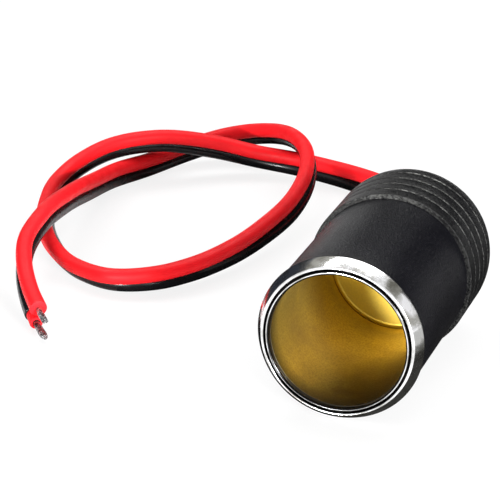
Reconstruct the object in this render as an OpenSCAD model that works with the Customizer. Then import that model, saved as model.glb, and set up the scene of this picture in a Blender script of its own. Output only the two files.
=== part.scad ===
// 12 V accessory socket with a red and black twin lead, lying on its side.
// Millimetres. The socket's axis runs along Y, the mouth faces -Y and the lead leaves towards +Y.

/* [Socket] */
// Radius of the bore that takes a plug
bore_r = 10.5; // [10.4:0.05:10.6]
// Depth of the bore's floor behind the mouth
floor_at = 33.1; // [32.6:0.1:33.3]
// Sheet thickness of the drawn liner
liner_t = 0.5; // [0.4:0.05:0.5]
// Inside radius of the corner between the bore and its floor
corner_r = 0.8; // [0.5:0.1:1.2]

/* [Barrel and cap] */
// Outside radius of the barrel
barrel_r = 12.5; // [12.3:0.1:12.6]
// Outside radius of the rear cap
cap_r = 13.2; // [13:0.1:13.5]
// Distance from the mouth to the cap's front face
cap_from = 29.25; // [28.5:0.25:30]
// Number of turned grooves round the cap
groove_count = 4; // [1:1:4]
// Distance from one groove to the next
groove_pitch = 2.7; // [2.2:0.1:2.7]
// Width of a groove at the surface
groove_w = 0.45; // [0.3:0.05:0.7]
// Depth of a groove
groove_d = 0.3; // [0.1:0.05:0.4]

/* [Lead] */
// Diameter of each insulated wire
wire_d = 2.7; // [2.4:0.1:2.7]
// Bare length at the end of the red wire
red_bare = 4.4; // [3:0.1:8]
// Bare length beyond the collar of the black wire
black_bare = 5.4; // [3:0.1:8]
// How much shorter the black insulation is than the red
black_short = 2.9; // [0:0.1:6]
// Length of the red collar on the black wire
collar_len = 2.8; // [1.5:0.1:4]

/* [Hidden] */
$fn = 96;

// Length of the body, and of the body with the grommet's rim
body_len = 46.5;
overall = 47.5;
// Clearance between pressed or turned faces
gap = 0.05;
// Front edge of the liner, behind the bezel's lip
shell_from = 0.95;
liner_r = bore_r + liner_t;
// Bezel: neck behind the lip, the three rounded edges (radius, distance), and the inner sleeve
neck_r = 10.9;
lip = [10.87, 0.3];
lip_t = 0.3;
bead = [11.62, 0.42];
bead_t = 0.36;
edge = [12.68, 2.08];
edge_t = 0.17;
bezel_back = 2.25;
sleeve_r = 11.5;
sleeve_to = 6;
// Bore of the barrel round the liner
seat_r = liner_r + gap;
// Rear face of the liner's flat floor, and the shallow well in the floor's middle
back_at = floor_at + liner_t;
well_r = 4.6;
well = 0.6;
well_at = floor_at + well;
well_back = back_at + well;
// Hole in the well, with the insulator's bush in it
hole_r = 2.35;
bush_r = 2.3;
bush_bore_r = 1.65;
// Rivet: flat disc under its head, head, shank, and the parts stacked behind the floor
disc_r = 4.4;
disc_t = 0.5;
disc_at = well_at - disc_t;
head_r = 3.2;
head_t = 0.8;
head_crown_r = 9.6;
shank_r = 1.6;
rear_disc_t = 0.6;
tab_t = 0.5;
washer_t = 0.4;
tab_at = well_back + rear_disc_t;
washer_at = tab_at + tab_t;
closed_at = washer_at + washer_t;
closed_r = 2.5;
closed_t = 0.7;
closed_crown_r = 9.1;
washer_r = 2.9;
eye_r = 3;
tail_w = 2.8;
foot_w = 3.2;
bend_r = 0.3;
// Spigot of the barrel inside the cap, its snap bead, and the ledge behind the liner
spigot_r = 12;
spigot_to = 38;
snap_at = 36.5;
snap_t = 0.2;
ledge_r = 9;
ledge_t = 1;
// Cap: end of the straight outside, radius of the rounded shoulder and of its rear corner
shoulder_at = 40.6;
shoulder_r = 8.6;
cap_corner_r = 1.2;
cap_wall_at = 44.7;
chamber_r = 11.2;
groove_first = cap_from + 2.9;
// Hole in the cap's rear wall and the grommet in it
cable_hole_r = 3.6;
rim_r = 4.6;
rim_t = 0.8;
// Tabs and the wires soldered to them
strand_r = 0.6;
solder_r = 1.2;
wire_r = wire_d / 2;
pair_pitch = 2.8;
collar_r = 1.1;
collar_bore_r = 0.62;
positive_face = -3.9;
negative_face = 5.2;
red_y = positive_face + strand_r + gap;
black_y = negative_face - strand_r - gap;
red_strand_from = well_back + 2.2;
red_strand_to = well_back + 4.6;
black_strand_from = back_at + 1.3;
black_strand_to = back_at + 3.8;
bend_to = 43.8;

// The middle of the twin lead from the cap to its end: x, y, height and the roll of the pair
route = [
  [0, overall / 2, cap_r, 90],
  [-0.5, 34.5, 11.4, 90],
  [-2, 43, 8.5, 90],
  [-6.5, 55.5, 4.8, 88],
  [-14, 66, 3.5, 84],
  [-23.5, 74, 2.9, 75],
  [-30.5, 77.5, 2.8, 67],
  [-38.5, 79.5, 3.1, 61],
  [-46, 79, 3.9, 54],
  [-53.5, 76.5, 5.8, 54],
  [-63.5, 70, 8, 50],
  [-70.5, 63.5, 7.5, 54],
  [-74, 58, 5.9, 62],
  [-75.5, 51, 4.1, 75],
  [-73.5, 41.5, 2.9, 93],
  [-68, 29.5, 2.7, 116],
  [-63.5, 23, 2.6, 127],
  [-57.5, 17.5, 2.4, 135],
  [-50.5, 15, 2.4, 135],
  [-43, 17.5, 2.8, 128],
  [-39, 21.5, 3.2, 123],
  [-35, 29, 3.7, 114],
  [-32, 40, 4.4, 102],
  [-30.5, 53, 5.5, 91],
  [-31, 61.5, 6.9, 86],
  [-33.5, 70, 8.2, 77],
  [-38.5, 78, 8.5, 51],
  [-44.5, 83.5, 7.2, 39],
  [-50, 85.5, 5.8, 42],
  [-54.5, 85, 4.7, 49],
  [-60, 81, 3.3, 58],
  [-65, 72, 2.65, 61],
  [-68, 61.5, 3.6, 65],
  [-68.5, 51.5, 4.8, 67],
  [-67.5, 36, 7.4, 71],
  [-66.5, 23, 8.4, 78],
  [-65.3, 12.9, 7.1, 88],
  [-62.7, 6.1, 5.8, 88],
  [-58.8, -0.7, 4, 86],
  [-55.6, -5.3, 3, 84]
];
last = len(route) - 1;

function unit(v) = v / norm(v);
function place(i) = [route[i][0], route[i][1], route[i][2]];
function run(i) =
  i == 0 ? [0, 1, 0]
  : i == last ? unit(place(i) - place(i - 1))
  : unit(place(i + 1) - place(i - 1));
function side(t) = unit([-t[1], t[0], 0]);
function over(t) = cross(t, side(t));
function off(i) = pair_pitch / 2 * (cos(route[i][3]) * side(run(i)) + sin(route[i][3]) * over(run(i)));
function red_at(i) = place(i) + off(i);
function black_at(i) = place(i) - off(i);

// Directions of the lead's end, and points near it given as along, sideways and up
end_run = run(last);
end_side = side(end_run);
end_over = over(end_run);
red_end = red_at(last);
black_end = black_at(last) - black_short * end_run;
function near(base, p) = base + p[0] * end_run + p[1] * end_side + p[2] * end_over;

// A tube through points, each with its direction and the two half widths of its section
module tube(points, runs, wide, high, sides) {
  n = len(points);
  rings = [
    for (i = [0:n - 1])
      for (j = [0:sides - 1])
        points[i] + wide[i] * cos(360 * j / sides) * side(runs[i])
        + high[i] * sin(360 * j / sides) * over(runs[i])
  ];
  walls = [
    for (i = [0:n - 2])
      for (j = [0:sides - 1])
        for (half = [0, 1])
          half == 0
            ? [i * sides + j, (i + 1) * sides + j, (i + 1) * sides + (j + 1) % sides]
            : [i * sides + j, (i + 1) * sides + (j + 1) % sides, i * sides + (j + 1) % sides]
  ];
  front = [[for (j = [0:sides - 1]) j]];
  back = [[for (j = [0:sides - 1]) (n - 1) * sides + sides - 1 - j]];
  polyhedron(points = rings, faces = concat(walls, front, back));
}

// Stands a part drawn with its axis up on its side, with the axis at the cap's radius
module lying() {
  translate([0, -overall / 2, cap_r])
    rotate([-90, 0, 0])
      children();
}

// A section in the plane of the socket's axis and the vertical, drawn out sideways
module strip(width) {
  translate([-width / 2, 0, 0])
    rotate([90, 0, 90])
      linear_extrude(height = width)
        children();
}

// Section of a bent strip: one leg to the right, one leg up, rounded where they meet
module angle_section(base, rise, inner) {
  translate([inner + tab_t, 0])
    square([base - inner - tab_t, tab_t]);
  translate([0, inner + tab_t])
    square([tab_t, rise - inner - tab_t]);
  translate([inner + tab_t, inner + tab_t])
    intersection() {
      difference() {
        circle(r = inner + tab_t);
        circle(r = inner);
      }
      translate([-inner - tab_t, -inner - tab_t])
        square(inner + tab_t);
    }
}

// Chromed front ring: rolled lip, groove, bead, cone, rolled rear edge and the sleeve behind
module bezel_ring() {
  color([0.82, 0.83, 0.85])
    lying()
      rotate_extrude()
        union() {
          translate(lip)
            circle(r = lip_t);
          translate(bead)
            circle(r = bead_t);
          translate(edge)
            circle(r = edge_t);
          polygon([
            [neck_r, lip[1]], [lip[0] + lip_t, lip[1]], [lip[0] + lip_t, 0.6], [11.45, 0.6],
            bead, [11.94, 0.255], [12.835, 2], edge, [edge[0], bezel_back],
            [sleeve_r, bezel_back], [sleeve_r, sleeve_to], [seat_r, sleeve_to],
            [seat_r, shell_from], [neck_r, shell_from]
          ]);
        }
}

// Drawn metal cup that lines the bore, with a well and a hole in its floor for the contact
module liner_shell() {
  color([0.72, 0.57, 0.23])
    lying()
      rotate_extrude()
        union() {
          translate([bore_r, shell_from])
            square([liner_t, floor_at - corner_r - shell_from]);
          polygon([
            [hole_r, well_at], [well_r, well_at], [well_r, floor_at + 0.1], [well_r + 0.1, floor_at],
            [bore_r - corner_r, floor_at], [bore_r - corner_r, back_at], [well_r + liner_t, back_at],
            [well_r + liner_t, well_back], [hole_r, well_back]
          ]);
          translate([bore_r - corner_r, floor_at - corner_r])
            intersection() {
              difference() {
                circle(r = corner_r + liner_t);
                circle(r = corner_r);
              }
              square(corner_r + liner_t);
            }
        }
}

// Black barrel with a ledge behind the liner and a spigot with a snap bead for the cap
module housing_tube() {
  color([0.06, 0.06, 0.065])
    lying()
      rotate_extrude()
        polygon([
          [sleeve_r + gap, bezel_back], [barrel_r - 0.12, bezel_back],
          [barrel_r, bezel_back + 0.12], [barrel_r, cap_from], [spigot_r, cap_from],
          [spigot_r, snap_at - 0.3], [spigot_r + snap_t, snap_at - 0.1],
          [spigot_r + snap_t, snap_at + 0.1], [spigot_r, snap_at + 0.3],
          [spigot_r, spigot_to - 0.3], [spigot_r - 0.3, spigot_to], [seat_r, spigot_to],
          [seat_r, back_at + ledge_t], [ledge_r, back_at + ledge_t], [ledge_r, back_at],
          [seat_r, back_at], [seat_r, sleeve_to + 0.1], [sleeve_r + gap, sleeve_to + 0.1]
        ]);
}

// Outline of the cap's straight part, with its grooves, from the front face to the shoulder
function groove_outline() = [
  for (i = [0:groove_count - 1])
    let (s = groove_first + i * groove_pitch)
      for (k = [-1, 0, 1])
        [cap_r - (k == 0 ? groove_d : 0), s + k * groove_w / 2]
];

// Black rear cap with turned grooves, a rounded shoulder and a hole for the lead
module rear_cap() {
  centre_r = cap_r - shoulder_r;
  corner_s = body_len - cap_corner_r;
  corner_c = centre_r + sqrt(pow(shoulder_r - cap_corner_r, 2) - pow(corner_s - shoulder_at, 2));
  meet_s = shoulder_at + (corner_s - shoulder_at) * shoulder_r / (shoulder_r - cap_corner_r);
  color([0.05, 0.05, 0.055])
    lying()
      rotate_extrude()
        difference() {
          union() {
            polygon(concat(
              [[2, cap_from], [cap_r - 0.1, cap_from], [cap_r, cap_from + 0.1]],
              groove_outline(),
              [[cap_r, shoulder_at], [2, shoulder_at]]
            ));
            intersection() {
              translate([centre_r, shoulder_at])
                circle(r = shoulder_r);
              translate([2, shoulder_at])
                square([cap_r, meet_s - shoulder_at]);
            }
            translate([corner_c, corner_s])
              circle(r = cap_corner_r);
            translate([2, corner_s])
              square([corner_c - 2, cap_corner_r]);
          }
          polygon([
            [0, cap_from - 1], [spigot_r + gap, cap_from - 1], [spigot_r + gap, snap_at - 0.4],
            [spigot_r + snap_t + gap, snap_at - 0.2], [spigot_r + snap_t + gap, snap_at + 0.2],
            [spigot_r + gap, snap_at + 0.4], [spigot_r + gap, spigot_to + 0.1],
            [chamber_r, spigot_to + 0.1], [chamber_r, cap_wall_at - 1.2],
            [chamber_r - 1.3, cap_wall_at], [cable_hole_r, cap_wall_at], [cable_hole_r, body_len + 1],
            [0, body_len + 1]
          ]);
        }
}

// Fibre washer in front of the floor, with a bush through the floor's hole
module front_insulator() {
  color([0.45, 0.2, 0.1])
    lying()
      rotate_extrude()
        polygon([
          [bush_bore_r, disc_at], [disc_r - 0.1, disc_at], [disc_r, disc_at + 0.1],
          [disc_r, well_at], [bush_r, well_at], [bush_r, well_back], [bush_bore_r, well_back]
        ]);
}

// Fibre washer behind the floor
module rear_insulator() {
  color([0.45, 0.2, 0.1])
    lying()
      rotate_extrude()
        translate([bush_bore_r, well_back])
          square([disc_r - bush_bore_r, rear_disc_t]);
}

// Centre contact: domed head, shank, and the end closed over the washer
module contact_rivet() {
  color([0.78, 0.62, 0.3])
    lying()
      rotate_extrude()
        union() {
          intersection() {
            translate([0, disc_at - head_t + head_crown_r])
              circle(r = head_crown_r);
            translate([0, disc_at - head_t - gap])
              square([head_r, head_t + gap]);
          }
          translate([0, disc_at - gap])
            square([shank_r, closed_at - disc_at + 2 * gap]);
          intersection() {
            translate([0, closed_at + closed_t - closed_crown_r])
              circle(r = closed_crown_r);
            translate([0, closed_at])
              square([closed_r, closed_t + gap]);
          }
        }
}

// Plain washer under the rivet's closed end
module rivet_washer() {
  color([0.75, 0.75, 0.77])
    lying()
      rotate_extrude()
        translate([bush_bore_r, washer_at])
          square([washer_r - bush_bore_r, washer_t]);
}

// Ring under the washer with a tail bent back, above the axis
module positive_tab() {
  color([0.74, 0.74, 0.76])
    lying()
      difference() {
        union() {
          translate([0, 0, tab_at])
            cylinder(r = eye_r, h = tab_t);
          strip(tail_w)
            translate([positive_face - tab_t, tab_at])
              angle_section(2.8, 3.9, bend_r);
        }
        translate([0, 0, tab_at - 1])
          cylinder(r = bush_bore_r, h = 3);
      }
}

// Angle welded to the back of the floor, below the axis
module negative_tab() {
  color([0.74, 0.74, 0.76])
    lying()
      strip(foot_w)
        translate([negative_face, back_at])
          angle_section(3.6, 3.7, bend_r);
}

// Solder over a wire's strands: an arch that stands on the tab's inner face
module solder_arch(axis_y, middle, face_y) {
  slot = strand_r + gap;
  difference() {
    translate([0, axis_y, middle])
      sphere(r = solder_r);
    translate([0, axis_y, middle - 2])
      cylinder(r = slot, h = 4);
    translate([-slot, min(axis_y, face_y - 0.5), middle - 2])
      cube([2 * slot, abs(face_y - axis_y) + 0.5, 4]);
    translate([-3, face_y > axis_y ? face_y : face_y - 3, middle - 3])
      cube([6, 3, 6]);
  }
}

module positive_solder() {
  color([0.7, 0.7, 0.71])
    lying()
      solder_arch(red_y, (red_strand_from + red_strand_to) / 2, positive_face);
}

module negative_solder() {
  color([0.7, 0.7, 0.71])
    lying()
      solder_arch(black_y, (black_strand_from + black_strand_to) / 2, negative_face);
}

// A held wire: straight off the tab, an S bend towards the axis, straight through the cap
function inside(y, s) = [0, s - overall / 2, cap_r - y];
module s_lead(from_s, from_y, to_y) {
  shift = to_y - from_y;
  length = bend_to - from_s;
  steps = 10;
  share = [for (i = [0:steps]) i / steps];
  middle = [for (u = share) inside(from_y + shift * (1 - cos(180 * u)) / 2, from_s + length * u)];
  slope = [for (u = share) shift / length * 90 * sin(180 * u) * PI / 180];
  points = concat(middle, [inside(to_y, overall)]);
  runs = concat([for (k = slope) unit([0, 1, -k])], [[0, 1, 0]]);
  tube(points, runs, [for (p = points) wire_r], [for (p = points) wire_r], 16);
}

module red_inner_lead() {
  color([0.86, 0.05, 0.06])
    s_lead(red_strand_to, red_y, -pair_pitch / 2);
}

module black_inner_lead() {
  color([0.04, 0.04, 0.04])
    s_lead(black_strand_to, black_y, pair_pitch / 2);
}

module red_inner_strands() {
  color([0.8, 0.8, 0.8])
    lying()
      translate([0, red_y, red_strand_from])
        cylinder(r = strand_r, h = red_strand_to - red_strand_from);
}

module black_inner_strands() {
  color([0.8, 0.8, 0.8])
    lying()
      translate([0, black_y, black_strand_from])
        cylinder(r = strand_r, h = black_strand_to - black_strand_from);
}

// Soft bush in the cap's rear wall, with a rim on each side and an upright slot for the pair
module wire_grommet() {
  color([0.07, 0.07, 0.07])
    lying()
      difference() {
        rotate_extrude()
          polygon([
            [0, cap_wall_at - rim_t], [rim_r, cap_wall_at - rim_t], [rim_r, cap_wall_at],
            [cable_hole_r - gap, cap_wall_at], [cable_hole_r - gap, body_len],
            [rim_r, body_len], [rim_r, overall - 0.3], [rim_r - 0.3, overall], [0, overall]
          ]);
        translate([0, -pair_pitch / 2, 40])
          cylinder(r = wire_r + gap, h = 10);
        translate([0, pair_pitch / 2, 40])
          cylinder(r = wire_r + gap, h = 10);
        translate([-wire_r - gap, -pair_pitch / 2, 40])
          cube([2 * wire_r + 2 * gap, pair_pitch, 10]);
      }
}

module red_wire() {
  color([0.86, 0.05, 0.06])
    tube(
      [for (i = [0:last]) red_at(i)],
      [for (i = [0:last]) run(i)],
      [for (i = [0:last]) wire_r],
      [for (i = [0:last]) wire_r],
      8
    );
}

module black_wire() {
  color([0.04, 0.04, 0.04])
    tube(
      concat([for (i = [0:last - 1]) black_at(i)], [black_end]),
      [for (i = [0:last]) run(i)],
      [for (i = [0:last]) wire_r],
      [for (i = [0:last]) wire_r],
      8
    );
}

// Tinned strands at the end of the red wire, pinched wider towards the end and cut at a slant
module red_wire_tip() {
  path = [[0, 0, 0], [0.35, 0.02, 0], [0.7, 0.1, 0.04], [0.93, 0.17, 0.06], [1, 0.24, 0.06]];
  color([0.72, 0.72, 0.72])
    tube(
      [for (p = path) near(red_end, [p[0] * red_bare, p[1], p[2]])],
      [for (p = path) end_run],
      [0.52, 0.52, 0.57, 0.56, 0.36],
      [0.5, 0.48, 0.42, 0.36, 0.24],
      10
    );
}

// Tinned strands of the black wire, from its insulation through the collar to a flat point
module black_wire_tip() {
  reach = collar_len + black_bare;
  path = [
    [0, 0, 0], [0.36, 0, 0], [0.55, 0.1, 0.06], [0.83, 0.28, 0.18], [0.95, 0.35, 0.23],
    [1, 0.38, 0.25]
  ];
  color([0.72, 0.72, 0.72])
    tube(
      [for (p = path) near(black_end, [p[0] * reach, p[1], p[2]])],
      [for (p = path) end_run],
      [0.55, 0.55, 0.62, 0.7, 0.42, 0.12],
      [0.5, 0.5, 0.46, 0.4, 0.26, 0.12],
      10
    );
}

// Short red sleeve over the black wire's strands, against its insulation
module black_wire_collar() {
  color([0.86, 0.05, 0.06])
    translate(black_end)
      rotate([0, acos(end_run[2]), atan2(end_run[1], end_run[0])])
        difference() {
          cylinder(r = collar_r, h = collar_len);
          translate([0, 0, -1])
            cylinder(r = collar_bore_r, h = collar_len + 2);
        }
}

bezel_ring();
liner_shell();
housing_tube();
rear_cap();
front_insulator();
rear_insulator();
contact_rivet();
rivet_washer();
positive_tab();
negative_tab();
positive_solder();
negative_solder();
red_inner_lead();
black_inner_lead();
red_inner_strands();
black_inner_strands();
wire_grommet();
red_wire();
black_wire();
red_wire_tip();
black_wire_tip();
black_wire_collar();
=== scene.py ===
"""Looks of a 12 V accessory socket with a red and black twin lead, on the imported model's frame.

The socket lies on its side. Its axis runs along Y, the mouth faces -Y, and the lead leaves
towards +Y and lies in two loops. The sizes of turned outlines and of patterns are in
millimetres, and everything else is in metres.
"""

import logging
import math
from dataclasses import dataclass, field
from enum import Enum
from functools import reduce

import bpy
import numpy as np
from mathutils import Euler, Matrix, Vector
from mathutils.geometry import interpolate_bezier


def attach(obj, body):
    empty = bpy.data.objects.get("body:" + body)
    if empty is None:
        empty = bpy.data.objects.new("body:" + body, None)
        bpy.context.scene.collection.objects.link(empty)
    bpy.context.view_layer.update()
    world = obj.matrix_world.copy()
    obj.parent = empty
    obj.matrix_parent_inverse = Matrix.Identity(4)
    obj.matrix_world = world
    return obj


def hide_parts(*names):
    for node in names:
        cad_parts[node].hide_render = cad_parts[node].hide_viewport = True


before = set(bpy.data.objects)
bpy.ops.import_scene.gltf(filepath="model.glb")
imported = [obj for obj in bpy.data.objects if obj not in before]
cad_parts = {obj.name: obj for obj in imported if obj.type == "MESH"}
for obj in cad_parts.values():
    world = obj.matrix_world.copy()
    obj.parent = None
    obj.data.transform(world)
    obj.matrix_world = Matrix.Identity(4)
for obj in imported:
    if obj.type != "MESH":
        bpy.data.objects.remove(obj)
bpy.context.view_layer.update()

log = logging.getLogger("socket")

Colour = Point = tuple[float, float, float]
Socket = bpy.types.NodeSocket
Value = float | Socket
Tone = Colour | Socket
Piece = bpy.types.Object
Material = bpy.types.Material
# Where a value starts and ends
Range = tuple[float, float]
# A point of a turned outline: its radius and its distance behind the mouth
Station = tuple[float, float]
# Of a card: its middle, turn and size
Place = tuple[Vector, Euler, Vector]
# Of a bare end, at places along it: share of the length, drift aside and up, half width, half height
Profile = list[tuple[float, float, float, float, float]]

MM = 0.001
AXIS_HEIGHT = 13.2 * MM
OVERALL = 47.5 * MM
MOUTH_Y = -OVERALL / 2
SAME_PLACE = 1e-6
# Turns a level circle so that it lies across the socket's axis
ACROSS_AXIS = (math.pi / 2, 0, 0)
WHITE: Colour = (1, 1, 1)

# Sizes that several pieces or finishes share, in millimetres
FLOOR = 33.1
WELL = 0.6
SHEET = 0.5
CONTACT_WASHER = 0.5
SNAP_AT = 36.5
SPIGOT_TO = 38.0
CAP_FRONT = 29.25
CAP_WALL = 44.7
CAP_BACK = 46.5
FIRST_GROOVE = CAP_FRONT + 2.9
GROOVE_PITCH = 2.7
GROOVES = 4


class Source(Enum):
    """Where a pattern's coordinates come from."""

    OBJECT = "Object"
    UV = "UV"


class Wire(Enum):
    """The two wires of the lead, and on which side of its middle each one runs."""

    RED = 1
    BLACK = -1


# ---- helpers for modelling ----


def deselect_everything() -> None:
    """Leaves edit mode and clears the selection."""
    if bpy.context.object is not None and bpy.context.object.mode != "OBJECT":
        bpy.ops.object.mode_set(mode="OBJECT")
    bpy.ops.object.select_all(action="DESELECT")


def make_active(piece: Piece) -> None:
    """Selects one piece and makes it the active one.

    Args:
        piece: The object that the next operator works on.
    """
    deselect_everything()
    piece.select_set(True)
    bpy.context.view_layer.objects.active = piece


def apply_place() -> None:
    """Puts the selected piece's place, turn and scale into its mesh."""
    bpy.ops.object.transform_apply(location=True, rotation=True, scale=True)


def edit_all() -> None:
    """Opens the active piece in edit mode with everything selected."""
    bpy.ops.object.mode_set(mode="EDIT")
    bpy.ops.mesh.select_all(action="SELECT")


def close_mesh(merge: bool = False, fill: bool = False) -> None:
    """Closes the mesh in edit mode, turns its faces outwards and leaves edit mode.

    Args:
        merge: Merges vertices at the same place.
        fill: Fills the open ends.
    """
    bpy.ops.mesh.select_all(action="SELECT")
    if merge:
        bpy.ops.mesh.remove_doubles(threshold=SAME_PLACE)
    if fill:
        bpy.ops.mesh.select_all(action="SELECT")
        bpy.ops.mesh.fill_holes(sides=0)
        bpy.ops.mesh.select_all(action="SELECT")
    bpy.ops.mesh.normals_make_consistent(inside=False)
    bpy.ops.object.mode_set(mode="OBJECT")


def settle(piece: Piece, smooth_angle: float = 35.0) -> None:
    """Puts a finished piece's place into its mesh and shades it.

    Args:
        piece: The finished piece.
        smooth_angle: Edges sharper than this many degrees stay sharp.
    """
    make_active(piece)
    apply_place()
    bpy.ops.object.shade_smooth_by_angle(angle=math.radians(smooth_angle))


def draw_out(name: str, sides: int, turn: tuple | Euler, rings: list[tuple]) -> Piece:
    """Draws a tube out of a circle, extruding it from ring to ring and resizing it.

    Args:
        name: The piece's name.
        sides: Number of the circle's corners.
        turn: How the circle is turned from level.
        rings: Middle and radius of each ring.

    Returns:
        The open tube, still in edit mode.
    """
    deselect_everything()
    middle, radius = rings[0]
    bpy.ops.mesh.primitive_circle_add(vertices=sides, radius=radius, location=middle, rotation=turn)
    piece = bpy.context.active_object
    piece.name = piece.data.name = name
    apply_place()
    edit_all()
    for (before, old), (here, new) in zip(rings, rings[1:]):
        step = tuple(b - a for a, b in zip(before, here))
        bpy.ops.mesh.extrude_region_move(TRANSFORM_OT_translate={"value": step})
        if new != old:
            bpy.ops.transform.resize(value=(new / old,) * 3, center_override=tuple(here))
    return piece


def arc(centre: Station, radius: float, start: float, end: float, steps: int) -> list[Station]:
    """Stations along a circular arc, in degrees from outwards (0) towards the rear (90)."""
    turns = [math.radians(start + (end - start) * i / steps) for i in range(steps + 1)]
    return [(centre[0] + radius * math.cos(t), centre[1] + radius * math.sin(t)) for t in turns]


# ---- materials ----


class NodeBench:
    """Adds and joins the nodes of one material or of the world."""

    def __init__(self, new: str | bpy.types.World, bare: bool = False) -> None:
        """Opens the nodes of a new material or of the world.

        Args:
            new: The material's name, or the world.
            bare: Starts without Blender's own first nodes.
        """
        holder = bpy.data.materials.new(new) if isinstance(new, str) else new
        holder.use_nodes = True
        self.holder = holder
        self.nodes = holder.node_tree.nodes
        self.links = holder.node_tree.links
        if bare:
            self.nodes.clear()

    def plug(self, value: Value | Colour | None, socket: Socket) -> None:
        """Links a socket, sets its constant, or leaves it alone.

        Args:
            value: A socket, a number, a colour or nothing.
            socket: The input it goes to.
        """
        if isinstance(value, Socket):
            self.links.new(value, socket)
        elif isinstance(value, tuple) and socket.type == "RGBA":
            socket.default_value = (*value, 1.0)
        elif value is not None:
            socket.default_value = value

    def fill(self, node: bpy.types.Node, **inputs: Value | Colour | None) -> bpy.types.Node:
        """Fills a node's inputs by name, with _ for a space.

        Args:
            node: The node.
            **inputs: The inputs' names and values.

        Returns:
            The same node.
        """
        for key, value in inputs.items():
            self.plug(value, node.inputs[key.replace("_", " ")])
        return node

    def add(self, kind: str, **inputs: Value | Colour | None) -> bpy.types.Node:
        """Adds a node of a kind and fills its inputs by name."""
        return self.fill(self.nodes.new("ShaderNode" + kind), **inputs)

    def join(self, kind: str, *values: Tone | Value | None, **settings: str) -> bpy.types.Node:
        """Adds a node, changes its settings and fills its first inputs in order.

        Args:
            kind: Node type, without the words that all types start with.
            *values: The values.
            **settings: The settings' names and values.

        Returns:
            The node.
        """
        node = self.add(kind)
        for name, setting in settings.items():
            setattr(node, name, setting)
        for value, socket in zip(values, node.inputs):
            self.plug(value, socket)
        return node

    def coords(self, source: Source = Source.OBJECT, stretch: Colour = (1, 1, 1)) -> Socket:
        """Pattern coordinates in object space or of the UV map, scaled along each axis.

        Args:
            source: Object space or the UV map.
            stretch: How far each axis is scaled.

        Returns:
            The coordinates.
        """
        start = self.add("TexCoord").outputs[source.value]
        plain = stretch == (1, 1, 1)
        return start if plain else self.add("Mapping", Vector=start, Scale=stretch).outputs["Vector"]

    def parts(self, vector: Socket) -> tuple[Socket, ...]:
        """The X, Y and Z of a vector."""
        return tuple(self.add("SeparateXYZ", Vector=vector).outputs)

    def turned(self) -> Socket:
        """Coordinates of a turned piece: radius, distance along the axis and a slow third one.

        Returns:
            The coordinates.
        """
        x, y, z = self.parts(self.coords())
        up = self.math("SUBTRACT", z, AXIS_HEIGHT)
        squares = self.math("ADD", self.math("POWER", x, 2.0), self.math("POWER", up, 2.0))
        slow = self.times(x, 0.02)
        return self.add("CombineXYZ", X=self.math("SQRT", squares), Y=y, Z=slow).outputs["Vector"]

    def math(self, step: str, a: Value, b: Value = 0.0) -> Socket:
        """The result of a math node's operation on one or two values."""
        return self.join("Math", a, b, operation=step).outputs[0]

    def times(self, *values: Value) -> Socket:
        """The product of two or more values."""
        return reduce(lambda product, value: self.math("MULTIPLY", product, value), values)

    def noise(self, vector: Socket, cell: float, detail: float = 2.0, twist: float = 0.0) -> Socket:
        """Soft noise around 0.5, with spots of a size, finer layers and a twist."""
        inputs = {"Vector": vector, "Scale": 1 / (cell * MM), "Detail": detail, "Distortion": twist}
        return self.add("TexNoise", **inputs).outputs["Fac"]

    def span(
        self, value: Socket, low: float, high: float, start: float = 0.3, end: float = 0.7
    ) -> Socket:
        """Maps a value from between start and end to between low and high."""
        return self.join("MapRange", value, start, end, low, high).outputs["Result"]

    def fade(self, y: Socket, start: float, end: float, low: float = 1.0, high: float = 0.0) -> Socket:
        """Maps the Y coordinate to a range, between two distances behind the mouth."""
        return self.span(y, low, high, MOUTH_Y + start * MM, MOUTH_Y + end * MM)

    def blend(self, share: Value, a: Tone, b: Tone) -> Socket:
        """Mixes two colours: the first where the share is 0, and the second where it is 1."""
        # This node's inputs 6 and 7 and its output 2 are its colours
        return self.join("Mix", share, *[None] * 5, a, b, data_type="RGBA").outputs[2]

    def bump(self, height: Socket, depth: float, under: Socket | None = None) -> Socket:
        """The normal of a bump: a pattern from 0 to 1, its height, and the bump below it."""
        return self.add("Bump", Height=height, Distance=depth * MM, Normal=under).outputs["Normal"]

    def show(self, shader: Socket, output: str = "OutputMaterial") -> None:
        """Adds the output node and gives it a shader."""
        self.add(output, Surface=shader)

    def mix_shaders(self, share: Value, a: bpy.types.Node, b: bpy.types.Node) -> Socket:
        """Mixes two shaders: the first where the share is 0, and the second where it is 1."""
        return self.join("MixShader", share, a.outputs[0], b.outputs[0]).outputs[0]

    def finish(self, colour: Tone, roughness: Value, normal: Socket, **constants: float) -> Material:
        """Fills the shader, with its constants by name, and returns the material.

        Args:
            colour: Its base colour.
            roughness: Its roughness.
            normal: Its bumped normal.
            **constants: The names and values of its other inputs.

        Returns:
            The material.
        """
        shader = self.nodes["Principled BSDF"]
        self.fill(shader, Base_Color=colour, Roughness=roughness, Normal=normal, **constants)
        return self.holder


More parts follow.
